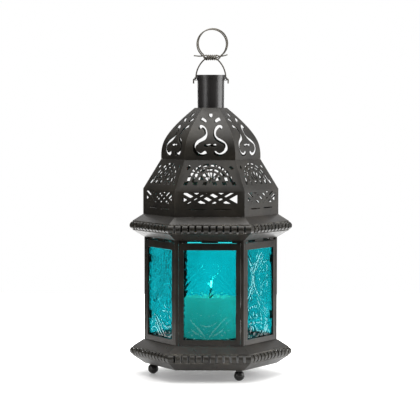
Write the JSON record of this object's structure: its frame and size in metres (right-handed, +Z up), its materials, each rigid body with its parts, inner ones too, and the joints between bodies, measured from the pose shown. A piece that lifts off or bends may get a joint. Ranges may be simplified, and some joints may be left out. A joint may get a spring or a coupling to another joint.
{
  "type": "candle lantern",
  "caption": "Six-sided pierced metal candle lantern with pressed coloured glass panes, a hinged rear door, a domed crown, a chimney, a wire bail and a hanging ring.",
  "frame": {"origin": "on the lantern's axis, at the level of the surface that its ball feet stand on", "axes": "+Z up along the axis; -Y is the front side's outward direction, +Y the rear door's; +X is to the right seen from the front, through two of the hexagon's corners"},
  "size_m": [0.1268, 0.1098, 0.2693],
  "materials": {
    "dark_metal": "satin bronze black paint",
    "pierced_sheet": "satin bronze black paint on pierced sheet",
    "dark_wire": "thin dark coat on steel wire",
    "foot_metal": "glossy black paint on turned balls",
    "plain_steel": "plain plated steel",
    "blue_glass": "pressed turquoise glass with a floral relief",
    "candle_wax": "ivory wax",
    "wick": "charred cotton"
  },
  "bodies": {
    "lantern": {"ball_foot_1": "foot_metal", "ball_foot_2": "foot_metal", "ball_foot_3": "foot_metal", "base_lower_skirt": "dark_metal", "base_plate": "dark_metal", "base_slotted_band": "dark_metal", "base_upper_skirt": "dark_metal", "candle_cup": "plain_steel", "candle_wax": "candle_wax", "candle_wick": "wick", "chimney": "dark_metal", "corner_post_1": "dark_metal", "corner_post_2": "dark_metal", "corner_post_3": "dark_metal", "corner_post_4": "dark_metal", "corner_post_5": "dark_metal", "corner_post_6": "dark_metal", "crown_panel_1": "pierced_sheet", "crown_panel_2": "pierced_sheet", "crown_panel_3": "pierced_sheet", "crown_panel_4": "pierced_sheet", "crown_panel_5": "pierced_sheet", "crown_panel_6": "pierced_sheet", "dome_petal_1": "pierced_sheet", "dome_petal_2": "pierced_sheet", "dome_petal_3": "pierced_sheet", "dome_petal_4": "pierced_sheet", "dome_petal_5": "pierced_sheet", "dome_petal_6": "pierced_sheet", "door_catch": "plain_steel", "ear_collar": "dark_metal", "eave_lower_skirt": "dark_metal", "eave_slotted_band": "dark_metal", "eave_upper_skirt": "dark_metal", "floor_plate": "dark_metal", "foot_nuts": "plain_steel", "glass_clips": "plain_steel", "glass_pane_1": "blue_glass", "glass_pane_2": "blue_glass", "glass_pane_3": "blue_glass", "glass_pane_5": "blue_glass", "glass_pane_6": "blue_glass", "hinge_pins": "plain_steel", "lower_hinge_post_leaf": "dark_metal", "panel_frame_1": "dark_metal", "panel_frame_2": "dark_metal", "panel_frame_3": "dark_metal", "panel_frame_5": "dark_metal", "panel_frame_6": "dark_metal", "upper_hinge_post_leaf": "dark_metal", "vent_ring": "dark_metal"},
    "door": {"door_frame": "dark_metal", "door_glass": "blue_glass", "door_glass_clips": "plain_steel", "door_knob": "dark_metal", "door_tongue": "plain_steel", "lower_hinge_door_leaf": "dark_metal", "upper_hinge_door_leaf": "dark_metal"},
    "bail": {"bail_wire": "dark_wire"},
    "ring": {"hanging_ring": "dark_wire"}
  },
  "joints": [
    {"name": "door_hinge", "type": "hinge", "parent": "lantern", "child": "door", "pos_m": [0.0235, 0.04646, 0.0663], "axis": [0, 0, -1], "range_deg": [0, 120]},
    {"name": "bail_pivot", "type": "hinge", "parent": "lantern", "child": "bail", "pos_m": [0, 0, 0.2302], "axis": [1, 0, 0], "range_deg": [-90, 90]},
    {"name": "ring_swing", "type": "hinge", "parent": "bail", "child": "ring", "pos_m": [0, 0, 0.2469], "axis": [1, 0, 0], "range_deg": [-20, 20]}
  ]
}
